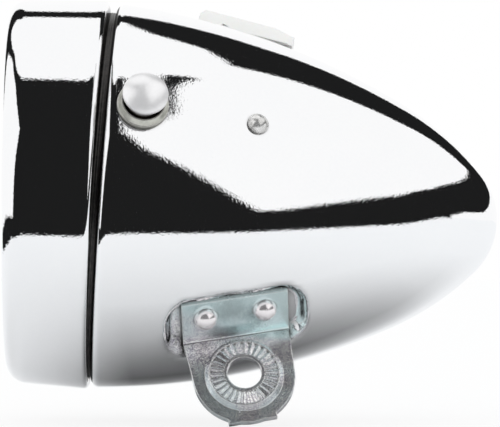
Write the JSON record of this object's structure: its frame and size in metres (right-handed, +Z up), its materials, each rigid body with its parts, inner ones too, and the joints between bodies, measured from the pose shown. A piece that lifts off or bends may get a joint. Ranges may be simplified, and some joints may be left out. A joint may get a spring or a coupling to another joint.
{
  "type": "bicycle headlight",
  "caption": "Chromed bullet-shaped bicycle headlight with a pull-off rim, a top slide switch, a side button and a riveted bracket with a serrated bolt ring.",
  "frame": {"origin": "middle of the bracket's bolt hole, halfway through the hole's wall", "axes": "+X along the lamp from the lens towards the nose, +Z up in use, -Y out of the bracket's serrated face, towards the bolt's head"},
  "size_m": [0.0933, 0.0775, 0.0839],
  "materials": {
    "chrome_shell": "polished chrome plate on brass",
    "chrome_rim": "polished chrome plate on brass",
    "zinc_plate": "zinc-plated steel, slightly mottled",
    "rivet_steel": "bright steel, satin",
    "inner_steel": "plain steel",
    "stud_metal": "bright nickel",
    "collar_metal": "dull nickel over brass",
    "spring_brass": "spring brass, satin",
    "contact_brass": "brass strip, satin",
    "bulb_brass": "bright brass",
    "fibre_board": "brown insulating board",
    "cradle_plastic": "black moulding",
    "cell_wrap": "plain dark green sleeve",
    "gasket_rubber": "soft black rubber",
    "lens_glass": "clear pressed glass",
    "bulb_glass": "clear thin glass",
    "reflector_mirror": "silvered",
    "spring_wire": "spring steel wire",
    "ivory_plastic": "ivory moulding, semi-gloss",
    "button_metal": "satin aluminium"
  },
  "bodies": {
    "housing": {"shell": "chrome_shell", "bracket_plate": "zinc_plate", "bracket_rivets": "rivet_steel", "bracket_backing_plate": "inner_steel", "button_collar": "collar_metal", "button_leaf": "spring_brass", "leaf_stud": "stud_metal", "button_contact": "contact_brass", "switch_guide_plate": "fibre_board", "switch_rivets": "rivet_steel", "switch_contacts": "contact_brass", "battery_bulkhead": "fibre_board", "battery_cradle": "cradle_plastic", "battery_cells": "cell_wrap", "front_contacts": "contact_brass", "rear_contacts": "contact_brass"},
    "rim_unit": {"rim": "chrome_rim", "lens_gasket": "gasket_rubber", "lens": "lens_glass", "reflector": "reflector_mirror", "retaining_ring": "spring_wire", "bulb_holder": "contact_brass", "holder_insulator": "fibre_board", "centre_contact": "contact_brass", "bulb_cap": "bulb_brass", "bulb_glass": "bulb_glass", "bulb_filament": "spring_wire"},
    "switch": {"switch_slider": "ivory_plastic", "slider_shoe": "inner_steel", "slider_contact": "contact_brass"},
    "button": {"button_head": "button_metal", "button_foot": "fibre_board"}
  },
  "joints": [
    {"name": "rim_pull", "type": "slide", "parent": "housing", "child": "rim_unit", "axis": [-1, 0, 0], "range_m": [0, 0.035]},
    {"name": "switch_slide", "type": "slide", "parent": "housing", "child": "switch", "axis": [0.9778, 0, -0.2097], "range_m": [0, 0.004]},
    {"name": "button_press", "type": "slide", "parent": "housing", "child": "button", "axis": [-0.1073, 0.9942, 0], "range_m": [0, 0.002], "stiffness_N_per_m": 800, "deforming": ["button_leaf"]}
  ]
}
